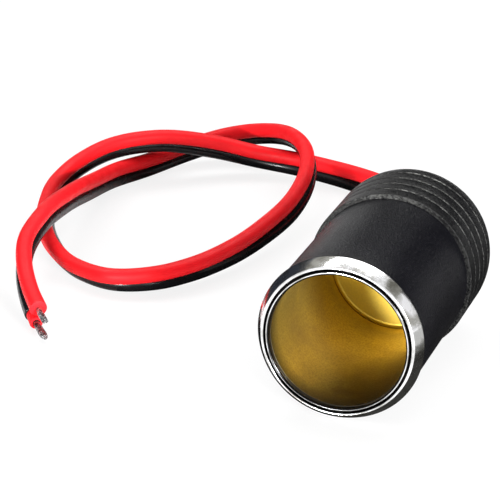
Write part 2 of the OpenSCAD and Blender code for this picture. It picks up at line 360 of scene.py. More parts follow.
@dataclass(frozen=True)
class PolishedPlate:
    """Bright chrome plate on pressed steel: haze, fine turned lines, and painted shade at its groove
    and edges.
    """

    slot: str = "bezel_chrome"
    colour: Colour = (0.80, 0.80, 0.81)
    haze: Colour = (0.36, 0.355, 0.33)
    painted_ring_shade: Colour = (0.02, 0.02, 0.02)
    haze_cell: float = 2.2
    haze_spread: Range = (0.44, 0.66)
    scratch_cell: float = 0.22
    scratch_depth: float = 0.002
    ripple_cell: float = 0.8
    ripple_depth: float = 0.004
    line_cell: float = 0.05
    line_depth: float = 0.0006
    groove: float = 11.2
    groove_half: float = 0.2
    inner: float = 10.8
    front_to: float = 1.0
    rear_from: float = 1.95
    edge_soft: float = 0.06
    smooth: float = 0.09
    dull: float = 0.2

    def material(self) -> Material:
        """Makes the material.

        Returns:
            The material.
        """
        bench = NodeBench(self.slot)
        place = bench.coords()
        cloud = bench.noise(place, self.haze_cell, 3)
        fine = bench.noise(place, self.scratch_cell)
        turned = bench.turned()
        colour = bench.blend(bench.span(cloud, 0, 1, *self.haze_spread), self.colour, self.haze)
        # Painted shade darkens the groove, the inside of the lip and the rolled rear edge
        colour = bench.blend(self.shade(bench, turned), colour, self.painted_ring_shade)
        roughness = bench.span(bench.times(cloud, fine), self.smooth, self.dull, 0.12, 0.42)
        ripple = bench.bump(bench.noise(place, self.ripple_cell), self.ripple_depth)
        lines = bench.bump(bench.noise(turned, self.line_cell, 1), self.line_depth, ripple)
        normal = bench.bump(fine, self.scratch_depth, lines)
        return bench.finish(colour, roughness, normal, Metallic=1.0)

    def shade(self, bench: NodeBench, turned: Socket) -> Socket:
        """Where shade is painted on the ring: its front groove, inside its lip, and its rolled rear
        edge.

        Args:
            bench: The material's nodes.
            turned: Coordinates of a turned piece.

        Returns:
            The share of painted shade, from 0 to 1.
        """
        radius, along, _ = bench.parts(turned)
        groove = bench.math("ABSOLUTE", bench.math("SUBTRACT", radius, self.groove * MM))
        parts = [
            bench.span(value, 1, 0, size * MM, (size + self.edge_soft) * MM)
            for value, size in ((groove, self.groove_half), (radius, self.inner))
        ]
        front = bench.fade(along, self.front_to - 0.1, self.front_to)
        rear = bench.fade(along, self.rear_from, self.rear_from + 0.13, 0, 0.95)
        return bench.math("MAXIMUM", bench.times(bench.math("MAXIMUM", *parts), front), rear)


@dataclass(frozen=True)
class DrawnPlate:
    """Satin yellow plate on the drawn liner: fine grain, draw lines, tarnish, painted light and painted
    shade.
    """

    slot: str = "liner_metal"
    colour: Colour = (0.50, 0.38, 0.072)
    # Painted light: the cup's floor is made brighter and yellower
    deep: Colour = (0.78, 0.55, 0.07)
    tarnish: Colour = (0.27, 0.195, 0.07)
    # Tone of the painted shade near the mouth, behind the front edge and at the floor corner
    painted_shade_tone: Colour = (0.03, 0.025, 0.018)
    painted_low_shade: Colour = (0.08, 0.056, 0.018)
    # Painted shade, low on the right near the mouth, lies this way from the axis, in X and
    # downwards, and fades from the first to the second radius and depth
    low_shade_way: tuple[float, float] = (0.34, 0.94)
    low_shade_radius: Range = (3.6, 9.4)
    low_shade_depth: Range = (6, 21)
    floor_light_depth: Range = (30, 33.2)
    shaded_corner: float = 32.4
    shaded_corner_soft: Range = (0.06, 0.24)
    cloud_cell: float = 7
    cloud_twist: float = 0.4
    cloud_spread: Range = (0.42, 0.72)
    grain_cell: float = 0.3
    grain_spread: Range = (0.38, 0.66)
    grain_depth: float = 0.010
    draw_stretch: Point = (1, 0.04, 1)
    draw_depth: float = 0.003
    satin: float = 0.38
    dull: float = 0.5
    metallic: float = 0.93

    def material(self) -> Material:
        """Makes the material.

        Returns:
            The material.
        """
        bench = NodeBench(self.slot)
        place = bench.coords()
        cloud = bench.noise(place, self.cloud_cell, 3, self.cloud_twist)
        grain = bench.noise(place, self.grain_cell)
        draw = bench.noise(bench.coords(stretch=self.draw_stretch), self.grain_cell)
        x, depth, z = bench.parts(place)
        patches = bench.span(cloud, 0, 0.6, *self.cloud_spread)
        colour = bench.blend(patches, self.colour, self.tarnish)
        specks = bench.span(grain, 0, 0.55, *self.grain_spread)
        colour = bench.blend(specks, colour, self.tarnish)
        # Painted light, brighter and yellower towards the floor of the cup
        colour = bench.blend(bench.fade(depth, *self.floor_light_depth, 0, 0.6), colour, self.deep)
        # Painted shade, low on the right of the bore near the mouth
        right = bench.times(x, self.low_shade_way[0])
        down = bench.times(bench.math("SUBTRACT", AXIS_HEIGHT, z), self.low_shade_way[1])
        near, far = self.low_shade_radius
        low = bench.span(bench.math("ADD", right, down), 0, 1, near * MM, far * MM)
        low = bench.times(low, bench.fade(depth, *self.low_shade_depth))
        colour = bench.blend(bench.times(low, bench.span(cloud, 0.8, 1.0)), colour, self.painted_low_shade)
        # Painted shade: a thin dark line near where the wall turns into the floor
        shaded_corner = bench.math("PINGPONG", bench.math("SUBTRACT", depth, MOUTH_Y + self.shaded_corner * MM), 1 * MM)
        shaded_corner = bench.span(shaded_corner, 0.85, 0, *(edge * MM for edge in self.shaded_corner_soft))
        shaded_corner = bench.times(shaded_corner, bench.fade(depth, self.shaded_corner - 0.9, self.shaded_corner - 0.7, 0, 1))
        colour = bench.blend(shaded_corner, colour, self.painted_shade_tone)
        # Painted shade: darker near the mouth, and a thin dark line just behind the front edge
        for share, start, end in ((0.85, 1, 4.5), (1, 0.98, 1.02)):
            colour = bench.blend(bench.fade(depth, start, end, share, 0), colour, self.painted_shade_tone)
        roughness = bench.span(grain, self.satin, self.dull)
        normal = bench.bump(grain, self.grain_depth, bench.bump(draw, self.draw_depth))
        return bench.finish(colour, roughness, normal, Metallic=self.metallic)


@dataclass(frozen=True)
class MouldedPlastic:
    """Black moulded plastic with a fine leather-like grain."""

    slot: str
    colour: Colour
    # The lighter tone: random rubbed wear, and on the cap painted highlights
    wear_and_highlight: Colour
    cell: float
    depth: float
    satin: float
    dull: float
    specular: float = 0.25
    rub_cell: float = 6
    rub_spread: Range = (0.4, 0.75)
    fine_spread: Range = (0.5, 0.62)

    def glints(self, bench: NodeBench, place: Socket, fine: Socket) -> Socket:
        """Where the surface is rubbed lighter, from 0 to 1."""
        cloud = bench.span(bench.noise(place, self.rub_cell, 3), 0.4, 0.9, *self.rub_spread)
        return bench.times(cloud, bench.span(fine, 0, 1, *self.fine_spread))

    def material(self) -> Material:
        """Makes the material.

        Returns:
            The material.
        """
        bench = NodeBench(self.slot)
        place = bench.coords()
        pits = bench.noise(place, self.cell, 1)
        fine = bench.noise(place, self.cell * 0.55)
        colour = bench.blend(self.glints(bench, place, fine), self.colour, self.wear_and_highlight)
        roughness = bench.span(fine, self.satin, self.dull)
        normal = bench.bump(fine, self.depth * 0.6, bench.bump(pits, self.depth))
        return bench.finish(colour, roughness, normal, Specular_IOR_Level=self.specular)


@dataclass(frozen=True)
class GroovedPlastic(MouldedPlastic):
    """The cap's plastic: stippled, with painted highlights along the groove edges and on the front
    face.
    """

    edge: float = 0.16
    line_soft: Range = (0.01, 0.09)
    spot: float = 0.3
    # Share of the painted highlights left on the cap's shaded right side
    shaded_side: float = 0.35
    face_share: float = 0.25
    rest_share: float = 0.16

    def glints(self, bench: NodeBench, place: Socket, fine: Socket) -> Socket:
        """Painted highlights on the cap: spots on its front face and groove edges, dimmer to the right.

        Args:
            bench: The material's nodes.
            place: Object coordinates.
            fine: The fine grain.

        Returns:
            The share of the lighter tone, from 0 to 1.
        """
        x, along, _ = bench.parts(place)
        first = FIRST_GROOVE + self.edge
        last = first + (GROOVES - 1) * GROOVE_PITCH
        near = bench.math("SUBTRACT", along, MOUTH_Y + first * MM)
        near = bench.math("PINGPONG", near, GROOVE_PITCH / 2 * MM)
        sharp, gone = self.line_soft
        # Painted highlights along the groove edges, and below them on the front face
        line = bench.times(
            bench.span(near, 1, 0, sharp * MM, gone * MM),
            bench.fade(along, last + 0.5, last + 0.6),
            bench.fade(along, first - 0.6, first - 0.5, 0, 1),
            bench.span(bench.noise(place, 5), 0.5, 1.0, 0.42, 0.6),
        )
        face = bench.times(bench.fade(along, CAP_FRONT + 0.03, CAP_FRONT + 0.3), self.face_share)
        spots = bench.span(bench.noise(place, self.spot, 1), 0, 1, 0.36, 0.66)
        shown = bench.times(bench.math("MAXIMUM", line, face), spots)
        rest = bench.times(bench.span(fine, 0, 1, 0.52, 0.62), self.rest_share)
        # Painted light: the left side lighter than the right
        side = bench.span(x, 1.0, self.shaded_side, 1 * MM, 9 * MM)
        return bench.times(bench.math("MAXIMUM", shown, rest), side)


@dataclass(frozen=True)
class SoftVinyl:
    """Extruded wire insulation: a gloss skin with faint lines along it and slow waves."""

    slot: str
    colour: Colour
    deep: Colour
    gloss: float
    dull: float
    specular: float
    line_cell: float = 0.5
    line_depth: float = 0.003
    wave_cell: float = 2.6
    wave_depth: float = 0.03
    wave_spread: Range = (0.35, 0.8)
    fine_cell: float = 0.12
    fine_depth: float = 0.001

    def material(self) -> Material:
        """Makes the material.

        Returns:
            The material.
        """
        bench = NodeBench(self.slot)
        lines = bench.noise(bench.coords(Source.UV, (1, 0.06, 1)), self.line_cell)
        waves = bench.noise(bench.coords(Source.UV), self.wave_cell)
        fine = bench.noise(bench.coords(), self.fine_cell, 1)
        colour = bench.blend(bench.span(waves, 0, 0.5, *self.wave_spread), self.colour, self.deep)
        roughness = bench.span(waves, self.gloss, self.dull)
        normal = bench.bump(lines, self.line_depth, bench.bump(waves, self.wave_depth))
        normal = bench.bump(fine, self.fine_depth, normal)
        return bench.finish(colour, roughness, normal, Specular_IOR_Level=self.specular)


@dataclass(frozen=True)
class PlainMetal:
    """Small metal parts: a base tone, a darker tone in patches and a fine grain."""

    slot: str
    colour: Colour
    patch: Colour
    smooth: float
    dull: float
    cell: float = 0.3
    depth: float = 0.008
    metallic: float = 1.0
    patch_spread: Range = (0.38, 0.68)

    def material(self) -> Material:
        """Makes the material.

        Returns:
            The material.
        """
        bench = NodeBench(self.slot)
        place = bench.coords()
        cloud = bench.noise(place, self.cell * 5, 3)
        grain = bench.noise(place, self.cell)
        colour = bench.blend(bench.span(cloud, 0, 1, *self.patch_spread), self.colour, self.patch)
        roughness = bench.span(grain, self.smooth, self.dull)
        return bench.finish(colour, roughness, bench.bump(grain, self.depth), Metallic=self.metallic)


@dataclass(frozen=True)
class PressedFibre:
    """Red-brown vulcanised fibre, with short fibres seen in its face."""

    slot: str = "fibre"
    colour: Colour = (0.20, 0.06, 0.025)
    pale: Colour = (0.34, 0.13, 0.06)
    hair_cell: float = 0.25
    hair_stretch: Point = (1, 1, 0.15)
    hair_spread: Range = (0.4, 0.7)
    hair_depth: float = 0.02
    grain_cell: float = 0.15
    satin: float = 0.55
    dull: float = 0.8

    def material(self) -> Material:
        """Makes the material.

        Returns:
            The material.
        """
        bench = NodeBench(self.slot)
        hairs = bench.noise(bench.coords(stretch=self.hair_stretch), self.hair_cell, 3)
        grain = bench.noise(bench.coords(), self.grain_cell)
        colour = bench.blend(bench.span(hairs, 0, 1, *self.hair_spread), self.colour, self.pale)
        roughness = bench.span(grain, self.satin, self.dull)
        return bench.finish(colour, roughness, bench.bump(hairs, self.hair_depth))


FINISHES = (
    PolishedPlate(),
    DrawnPlate(),
    MouldedPlastic(
        "barrel_black", (0.0006, 0.0006, 0.0013), (0.008, 0.0076, 0.01), 0.36, 0.1, 0.24, 0.44, 0.13
    ),
    GroovedPlastic(
        "cap_black", (0.0006, 0.0006, 0.001), (0.2, 0.2, 0.19), 0.36, 0.12, 0.28, 0.44, 0.09
    ),
    PressedFibre(),
    PlainMetal("contact_metal", (0.70, 0.52, 0.20), (0.50, 0.34, 0.12), 0.2, 0.4),
    PlainMetal("plated_steel", (0.66, 0.66, 0.67), (0.50, 0.50, 0.51), 0.22, 0.4),
    PlainMetal("solder", (0.60, 0.60, 0.61), (0.42, 0.42, 0.43), 0.2, 0.45, 0.35, 0.02),
    SoftVinyl("insulation_red", (0.64, 0.008, 0.012), (0.5, 0.006, 0.010), 0.42, 0.56, 0.12),
    SoftVinyl("insulation_black", (0.004, 0.004, 0.0045), (0.007, 0.007, 0.008), 0.2, 0.3, 0.25),
    PlainMetal(
        "tinned_copper", (0.5, 0.5, 0.51), (0.035, 0.035, 0.04), 0.12, 0.35, 0.14, 0.03, 0.95
    ),
    MouldedPlastic("grommet_rubber", (0.010, 0.010, 0.010), (0.02, 0.02, 0.02), 0.2, 0.01, 0.5, 0.7),
)


@dataclass
class FinishRack:
    """Every finish of the part, made once."""

    made: dict[str, Material] = field(default_factory=dict)

    def build(self) -> None:
        """Makes the materials, one for each slot of the record."""
        for one in FINISHES:
            self.made[one.slot] = one.material()
            log.info("finish %s", one.slot)

    def dress(self, piece: Piece, slot: str) -> None:
        """Gives a piece its material and names the record's slot.

        Args:
            piece: The piece.
            slot: The slot's name.
        """
        piece.data.materials.clear()
        piece.data.materials.append(self.made[slot])


def enter(piece: Piece, *nodes: str) -> None:
    """Rides a new piece on the body, says which CAD nodes it stands for and reports it.

    Args:
        piece: The finished piece.
        *nodes: CAD nodes that it replaces.
    """
    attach(piece, "root")
    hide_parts(*nodes)
    log.info("piece %s for %s, %d faces", piece.name, ", ".join(nodes), len(piece.data.polygons))


# ---- the camera and the lead ----


@dataclass
class PhotoCamera:
    """The camera at the photograph's place."""

    place: Point = (0.09916, -0.36230, 0.16252)
    pitch: float = 69.09
    turn: float = 18.39
    lens: float = 187.2
    sensor: float = 36
    sees_from: float = 0.01
    sees_to: float = 10

    def build(self) -> None:
        """Makes the camera and gives it to the scene."""
        data = bpy.data.cameras.new("photo_camera")
        data.lens = self.lens
        data.sensor_width = self.sensor
        data.clip_start = self.sees_from
        data.clip_end = self.sees_to
        camera = bpy.data.objects.new("photo_camera", data)
        camera.location = self.place
        camera.rotation_euler = Euler((math.radians(self.pitch), 0, math.radians(self.turn)))
        bpy.context.scene.collection.objects.link(camera)
        bpy.context.scene.camera = camera
        log.info("camera at %s", tuple(round(x, 4) for x in self.place))


# The middle of the lead as in part.scad: x, y and height in metres, and the roll of the pair
ROUTE = [
    (0, 0.02375, 0.0132, 90), (-0.0005, 0.0345, 0.0114, 90), (-0.002, 0.043, 0.0085, 90),
    (-0.0065, 0.0555, 0.0048, 88), (-0.014, 0.066, 0.0035, 84), (-0.0235, 0.074, 0.0029, 75),
    (-0.0305, 0.0775, 0.0028, 67), (-0.0385, 0.0795, 0.0031, 61), (-0.046, 0.079, 0.0039, 54),
    (-0.0535, 0.0765, 0.0058, 54), (-0.0635, 0.07, 0.008, 50), (-0.0705, 0.0635, 0.0075, 54),
    (-0.074, 0.058, 0.0059, 62), (-0.0755, 0.051, 0.0041, 75), (-0.0735, 0.0415, 0.0029, 93),
    (-0.068, 0.0295, 0.0027, 116), (-0.0635, 0.023, 0.0026, 127), (-0.0575, 0.0175, 0.0024, 135),
    (-0.0505, 0.015, 0.0024, 135), (-0.043, 0.0175, 0.0028, 128), (-0.039, 0.0215, 0.0032, 123),
    (-0.035, 0.029, 0.0037, 114), (-0.032, 0.04, 0.0044, 102), (-0.0305, 0.053, 0.0055, 91),
    (-0.031, 0.0615, 0.0069, 86), (-0.0335, 0.07, 0.0082, 77), (-0.0385, 0.078, 0.0085, 51),
    (-0.0445, 0.0835, 0.0072, 39), (-0.05, 0.0855, 0.0058, 42), (-0.0545, 0.085, 0.0047, 49),
    (-0.06, 0.081, 0.0033, 58), (-0.065, 0.072, 0.00265, 61), (-0.068, 0.0615, 0.0036, 65),
    (-0.0685, 0.0515, 0.0048, 67), (-0.0675, 0.036, 0.0074, 71), (-0.0665, 0.023, 0.0084, 78),
    (-0.0653, 0.0129, 0.0071, 88), (-0.0627, 0.0061, 0.0058, 88), (-0.0588, -0.0007, 0.004, 86),
    (-0.0556, -0.0053, 0.003, 84),
]


@dataclass
class TwinLead:
    """The red and black lead: two insulated wires side by side, with bare tinned ends."""

    diameter: float = 2.7 * MM
    pitch: float = 2.8 * MM
    length: float = 0.365
    black_short: float = 2.9 * MM
    collar_length: float = 2.8 * MM
    red_bare: float = 4.4 * MM
    black_bare: float = 5.4 * MM
    flare: float = 0.06
    flare_from: float = 8 * MM
    cut_round: float = 0.12 * MM
    sides: int = 28
    steps: int = 10
    strand_radius: float = 0.115 * MM
    strand_steps: int = 14
    strand_twist: float = 1.5
    strand_inset: float = 0.1
    strand_tip: float = 0.6
    longest_cut: float = 0.985
    cut_spread: float = 0.13
    # Rings of strands in a bundle: share of the way out, number of strands, turn of the first
    layers: tuple[tuple[float, int, float], ...] = ((0.0, 1, 0.0), (0.52, 6, 0.0), (0.97, 12, 0.26))

    def __post_init__(self) -> None:
        """Works out the direction at each route point, and the lead's end."""
        self.points = [Vector(row[:3]) for row in ROUTE]
        ahead = [*self.points[2:], self.points[-1]]
        self.runs = [(b - a).normalized() for a, b in zip(self.points, ahead)]
        self.runs.insert(0, Vector((0, 1, 0)))
        self.end_run = self.runs[-1]
        self.end_side, self.end_over = self.across(self.end_run)
        self.end_turn = self.end_run.to_track_quat("Z", "Y").to_euler()
        self.ends = {wire: self.wire_points(wire)[-1] for wire in Wire}

    @staticmethod
    def across(run: Vector) -> tuple[Vector, Vector]:
        """The level direction and the rising one at right angles to a run."""
        level = Vector((-run.y, run.x, 0)).normalized()
        return level, run.cross(level)

    def wire_points(self, wire: Wire) -> list[Vector]:
        """Points of one wire's own middle line.

        Args:
            wire: Which wire.

        Returns:
            One point for each route point, with the black wire's last one drawn back.
        """
        points = []
        for row, middle, run in zip(ROUTE, self.points, self.runs):
            level, rise = self.across(run)
            roll = math.radians(row[3])
            aside = math.cos(roll) * level + math.sin(roll) * rise
            points.append(middle + wire.value * self.pitch / 2 * aside)
        if wire is Wire.BLACK:
            points[-1] = points[-1] - self.black_short * self.end_run
        return points

    def smooth_line(self, points: list[Vector]) -> list[Vector]:
        """A smooth line through points.

        Args:
            points: The points it passes through.

        Returns:
            Closely spaced points on it.
        """
        padded = [2 * points[0] - points[1], *points, 2 * points[-1] - points[-2]]
        gaps = [(b - a).length for a, b in zip(padded, padded[1:])]
        slopes = [
            ((here - before) / a * b + (after - here) / b * a) / (a + b)
            for before, here, after, a, b in zip(padded, padded[1:], padded[2:], gaps, gaps[1:])
        ]
        line = []
        for a, b, out, into, gap in zip(points, points[1:], slopes, slopes[1:], gaps[1:]):
            line += interpolate_bezier(a, a + out * gap / 3, b - into * gap / 3, b, self.steps + 1)[:-1]
        return [*line, points[-1].copy()]

    def skin(self, wire: Wire, line: list[Vector]) -> tuple[list[list[Vector]], list[float]]:
        """Rings of the insulation's surface, with a rounded cut end.

        Args:
            wire: Which wire.
            line: Its middle line.

        Returns:
            The rings of points, and how far along the wire each one is.
        """
        runs = [(b - a).normalized() for a, b in zip(line, line[1:])]
        runs = [runs[0], *[(a + b).normalized() for a, b in zip(runs, runs[1:])], runs[-1]]
        spread = self.flare if wire is Wire.RED else 0.0
        soft = self.cut_round
        rings, marks, covered = [], [], 0.0
        for i, (place, run) in enumerate(zip(line, runs)):
            covered += (line[i] - line[i - 1]).length if i else 0.0
            close = min(1.0, (line[-1] - place).length / self.flare_from)
            half = self.diameter / 2 * (1 + spread * (1 - close) ** 2)
            shrink = [(0.0, half)]
            if i == len(line) - 1:
                shrink = [(-soft, half), (-soft * 0.3, half - soft * 0.3), (0.0, half - soft)]
            level, rise = self.across(run)
            for back, radius in shrink:
                rings.append([
                    place + back * run + radius * (math.cos(a) * level + math.sin(a) * rise)
                    for a in (2 * math.pi * j / self.sides for j in range(self.sides))
                ])
                marks.append(covered + back)
        return rings, marks

    def insulation(self, wire: Wire) -> tuple[Piece, list[Vector]]:
        """One wire's insulation: a closed tube with a rounded cut end and a UV map in metres.

        Args:
            wire: Which wire.

        Returns:
            The piece and its middle line.
        """
        line = self.smooth_line(self.wire_points(wire))
        rings, marks = self.skin(wire, line)
        n, last, girth = self.sides, len(rings) - 1, math.pi * self.diameter
        faces = [
            [(i, j), (i + 1, j), (i + 1, j + 1), (i, j + 1)] for i in range(last) for j in range(n)
        ]
        faces += [[(0, j) for j in range(n)], [(last, j) for j in reversed(range(n))]]
        name = wire.name.lower() + "_insulation"
        mesh = bpy.data.meshes.new(name)
        verts = [tuple(v) for ring in rings for v in ring]
        mesh.from_pydata(verts, [], [[i * n + j % n for i, j in face] for face in faces])
        marked = [(girth * j / n, marks[i]) for face in faces for i, j in face]
        for corner, place in zip(mesh.uv_layers.new(name="UVMap").data, marked):
            corner.uv = place
        piece = bpy.data.objects.new(name, mesh)
        bpy.context.scene.collection.objects.link(piece)
        make_active(piece)
        edit_all()
        close_mesh()
        bpy.ops.object.shade_smooth_by_angle(angle=math.radians(50))
        return piece, line

    def strand_bundle(self, name: str, base: Vector, reach: float, profile: Profile) -> Piece:
        """A tinned bundle of strands, each drawn out on its own line and unevenly cut.

        Args:
            name: The piece's name.
            base: Where the bare part starts.
            reach: Its length.
            profile: Its drift and half sizes at places along it.

        Returns:
            The bundle.
        """
        strands = []
        for share, count, phase in self.layers:
            for k in range(count):
                turn = 2 * math.pi * k / count + phase
                cut = self.longest_cut - self.cut_spread * ((k * 7 + count) % 5) / 4
                strands.append(self.strand(base, reach, profile, share, turn, cut))
        deselect_everything()
        for strand in strands:
            strand.select_set(True)
        bpy.context.view_layer.objects.active = strands[0]
        bpy.ops.object.join()
        bundle = bpy.context.active_object
        bundle.name = bundle.data.name = name
        edit_all()
        close_mesh()
        settle(bundle, 40)
        return bundle

    def strand(
        self, base: Vector, reach: float, profile: Profile, share: float, turn: float, cut: float
    ) -> Piece:
        """One strand of a bundle, drawn out along a slow helix.

        Args:
            base: Where the bare part starts.
            reach: The bundle's length.
            profile: The bundle's profile.
            share: How far out in the bundle the strand lies, from 0 to 1.
            turn: Its angle round the bundle at the start.
            cut: Share of the reach at which it is cut.

        Returns:
            The strand.
        """
        shares, *columns = zip(*profile)
        rings = []
        for i in range(self.strand_steps + 1):
            t = cut * i / self.strand_steps
            aside, up, wide, high = (float(np.interp(t, shares, column)) for column in columns)
            angle = turn + self.strand_twist * t
            aside += share * (wide - self.strand_inset) * math.cos(angle)
            up += share * (high - self.strand_inset) * math.sin(angle)
            drift = aside * MM * self.end_side + up * MM * self.end_over
            radius = self.strand_radius * (1 if i < self.strand_steps else self.strand_tip)
            rings.append((base + t * reach * self.end_run + drift, radius))
        piece = draw_out("strand", 8, self.end_turn, rings)
        close_mesh(fill=True)
        return piece

    def collar(self) -> Piece:
        """The short red sleeve over the start of the black wire's strands.

        Returns:
            The collar.
        """
        outline = [
            (0.62, 0.0), (1.0, 0.0), (1.07, 0.04), (1.1, 0.12), (1.09, 1.2), (1.1, 2.6), (1.06, 2.72),
            (0.97, 2.8), (0.72, 2.8), (0.64, 2.72), (0.62, 2.6), (0.62, 0.0),
        ]
        base = self.ends[Wire.BLACK]
        rings = [(base + along * MM * self.end_run, radius * MM) for radius, along in outline]
        piece = draw_out("black_collar", 48, self.end_turn, rings)
        close_mesh(merge=True)
        settle(piece)
        return piece

    def build(self, rack: FinishRack) -> None:
        """Args:
            rack: The finishes.
        """
        red_profile = [
            (0, 0, 0, 0.52, 0.5), (0.35, 0.02, 0, 0.52, 0.48), (0.7, 0.1, 0.04, 0.57, 0.42),
            (0.93, 0.17, 0.06, 0.56, 0.36), (1, 0.24, 0.06, 0.36, 0.26),
        ]
        black_profile = [
            (0, 0, 0, 0.55, 0.5), (0.36, 0, 0, 0.55, 0.5), (0.55, 0.1, 0.06, 0.62, 0.46),
            (0.83, 0.28, 0.18, 0.7, 0.4), (0.95, 0.35, 0.23, 0.42, 0.26), (1, 0.38, 0.25, 0.14, 0.14),
        ]
        red_tip = self.strand_bundle("red_strands", self.ends[Wire.RED], self.red_bare, red_profile)
        reach = self.collar_length + self.black_bare
        black_tip = self.strand_bundle("black_strands", self.ends[Wire.BLACK], reach, black_profile)
        collar = self.collar()
        for piece, slot, node in (
            (red_tip, "tinned_copper", "red_wire_tip"),
            (black_tip, "tinned_copper", "black_wire_tip"),
            (collar, "insulation_red", "black_wire_collar"),
        ):
            rack.dress(piece, slot)
            enter(piece, node)
        for wire, pieces in ((Wire.RED, [red_tip]), (Wire.BLACK, [black_tip, collar])):
            colour = wire.name.lower()
            tube, line = self.insulation(wire)
            rack.dress(tube, "insulation_" + colour)
            enter(tube, colour + "_wire")


# ---- the socket ----


@dataclass
class Turned:
    """A piece turned round the socket's axis from an outline, for one CAD node.

    Edges sharper than smooth, in degrees, stay sharp. An outline that isn't solid is closed back
    to its first station.
    """

    name: str
    node: str
    slot: str
    smooth: float
    sides: int = 224
    solid: bool = False

    def outline(self) -> list[Station]:
        """The stations of the section, in order."""
        raise NotImplementedError

    def turn(self) -> Piece:
        """Turns the outline round the axis.

        Returns:
            The closed piece.
        """
        stations = self.outline()
        if not self.solid:
            stations.append(stations[0])
        rings = [((0, MOUTH_Y + along * MM, AXIS_HEIGHT), radius * MM) for radius, along in stations]
        piece = draw_out(self.name, self.sides, ACROSS_AXIS, rings)
        close_mesh(merge=True, fill=self.solid)
        return piece

    def build(self, rack: FinishRack) -> None:
        """Makes the piece, dresses it and enters it.

        Args:
            rack: The finishes.
        """
        piece = self.turn()
        settle(piece, self.smooth)
        rack.dress(piece, self.slot)
        enter(piece, self.node)


@dataclass
class FrontRing(Turned):
    """The chromed front ring: rolled lip, groove, bead, cone, rolled rear edge and inner sleeve."""

    lip: Station = (10.87, 0.3)
    lip_radius: float = 0.3
    bead: Station = (11.62, 0.42)
    bead_radius: float = 0.36
    cone_end: Station = (12.831, 2.002)
    across_cone: tuple[float, float] = (0.889, -0.459)
    crown: float = 0.05
    edge: Station = (12.68, 2.08)
    edge_radius: float = 0.17
    step: float = 0.95
    neck: float = 10.9
    seat: float = 11.05
    sleeve: float = 11.5
    sleeve_to: float = 6.0

    def crowned(self, start: Station) -> list[Station]:
        """The faintly crowned cone from the bead to the rolled rear edge.

        Args:
            start: Where the bead ends.

        Returns:
            The stations between the two.
        """
        line = []
        for t in (k / 6 for k in range(1, 6)):
            out = 4 * self.crown * t * (1 - t)
            line.append(tuple(
                a + (b - a) * t + way * out for a, b, way in zip(start, self.cone_end, self.across_cone)
            ))
        return line

    def outline(self) -> list[Station]:
        """The ring's section, from inside its lip round the front and back along the sleeve.

        Returns:
            The stations of the section, in order.
        """
        front = [(self.neck, self.step), *arc(self.lip, self.lip_radius, 84.3, 360, 22)]
        front += [(11.17, 0.54), (11.2, 0.59), *arc(self.bead, self.bead_radius, 150, 332.7, 16)]
        return [
            *front, *self.crowned(front[-1]), *arc(self.edge, self.edge_radius, -27.3, 90, 8),
            (self.sleeve, 2.25), (self.sleeve, self.sleeve_to - 0.1),
            (self.sleeve - 0.1, self.sleeve_to), (self.seat, self.sleeve_to), (self.seat, self.step),
        ]


@dataclass
class Liner(Turned):
    """The drawn cup that lines the bore, with its rounded corner and the well in its floor."""

    bore: float = 10.5
    front: float = 0.95
    corner: float = 0.5
    well_radius: float = 4.6
    hole: float = 2.35

    def outline(self) -> list[Station]:
        """The cup's section, from its mouth down the bore, over the floor and back outside.

        Returns:
            The stations of the section, in order.
        """
        bore, well, back = self.bore, self.well_radius, FLOOR + SHEET
        middle = (bore - self.corner, FLOOR - self.corner)
        return [
            (bore + 0.06, self.front), (bore, self.front + 0.06), (bore, self.front + 0.2), (bore, 16),
            (bore, 32.2), *arc(middle, self.corner, 0, 90, 12), (well + 0.7, FLOOR),
            *arc((well + 0.2, FLOOR + 0.2), 0.2, -90, -180, 5),
            *arc((well - 0.15, FLOOR + WELL - 0.15), 0.15, 0, 90, 4),
            (self.hole, FLOOR + WELL), (self.hole, back + WELL),
            *arc((well + 0.3, back + WELL - 0.2), 0.2, 90, 0, 5), (well + SHEET, back),
            *arc(middle, self.corner + SHEET, 90, 0, 12), (bore + SHEET, self.front),
        ]


@dataclass
class Barrel(Turned):
    """The smooth black barrel, with its counterbore, spigot, snap bead and inner ledge."""

    radius: float = 12.5
    front: float = 2.25
    edge: float = 0.12
    counterbore: float = 11.55
    counterbore_to: float = 6.1
    spigot: float = 12.0
    seat: float = 11.05
    ledge: float = 9.0
    ledge_at: float = FLOOR + SHEET
    ledge_long: float = 1.0

    def outline(self) -> list[Station]:
        """The barrel's section, from its front round the outside and back through the inside.

        Returns:
            The stations of the section, in order.
        """
        outer, spigot, seat, snap = self.radius, self.spigot, self.seat, SNAP_AT
        ledge_end = self.ledge_at + self.ledge_long
        return [
            (self.counterbore, self.front), (outer - 0.14, self.front),
            *arc((outer - self.edge, self.front + self.edge), self.edge, -80, 0, 4),
            (outer, 9), (outer, 19), (outer, CAP_FRONT), (spigot, CAP_FRONT),
            (spigot, snap - 0.3), (spigot + 0.2, snap - 0.1), (spigot + 0.2, snap + 0.1),
            (spigot, snap + 0.3), (spigot, SPIGOT_TO - 0.3), (spigot - 0.3, SPIGOT_TO),
            (seat, SPIGOT_TO), (seat, ledge_end), (self.ledge, ledge_end),
            (self.ledge, self.ledge_at), (seat, self.ledge_at), (seat, self.counterbore_to),
            (self.counterbore, self.counterbore_to),
        ]


